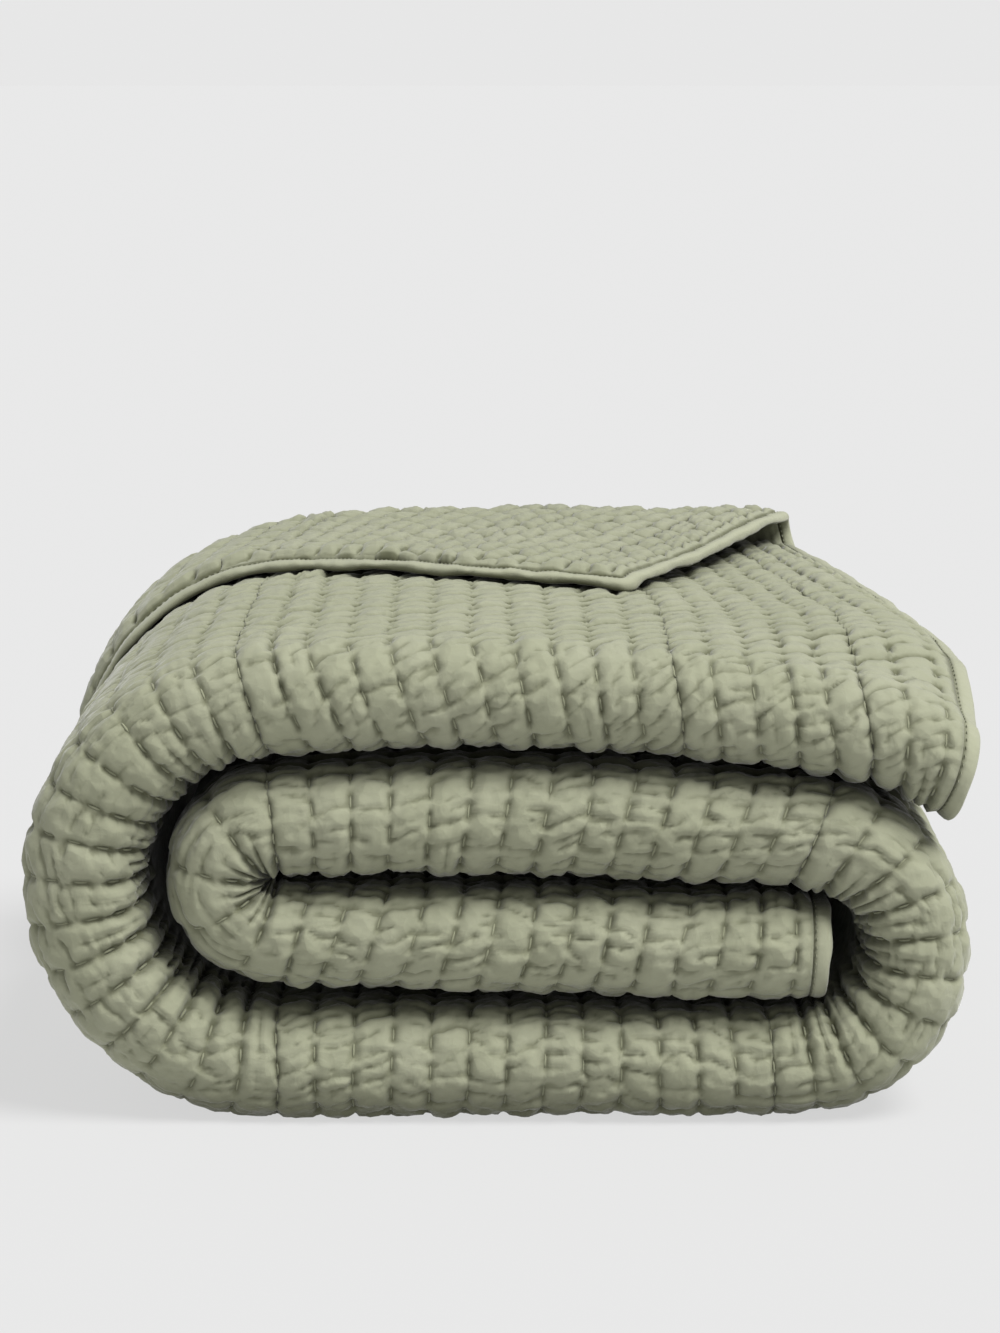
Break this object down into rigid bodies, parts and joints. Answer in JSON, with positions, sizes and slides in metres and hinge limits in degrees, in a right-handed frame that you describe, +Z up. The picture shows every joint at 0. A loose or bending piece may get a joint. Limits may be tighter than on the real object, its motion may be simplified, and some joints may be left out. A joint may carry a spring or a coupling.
{
  "type": "stitched quilt",
  "caption": "Channel-stitched bed quilt, folded lengthwise and rolled up flat, with one long edge turned over on top and a sewn edge binding all round.",
  "frame": {"origin": "on the surface the quilt rests on, under the middle of its bounding box", "axes": "+Z up, -Y towards the rounded front fold of the strip, +X towards the end where the outer end of the roll hangs over"},
  "size_m": [0.6462, 0.5856, 0.3446],
  "materials": {
    "quilt_body": "matte sage-green washed cotton, padded and stitched in rows",
    "edge_binding": "matte sage-green plain cotton strip"
  },
  "bodies": {
    "root": {"quilt_body": "quilt_body", "edge_binding": "edge_binding"}
  },
  "joints": []
}
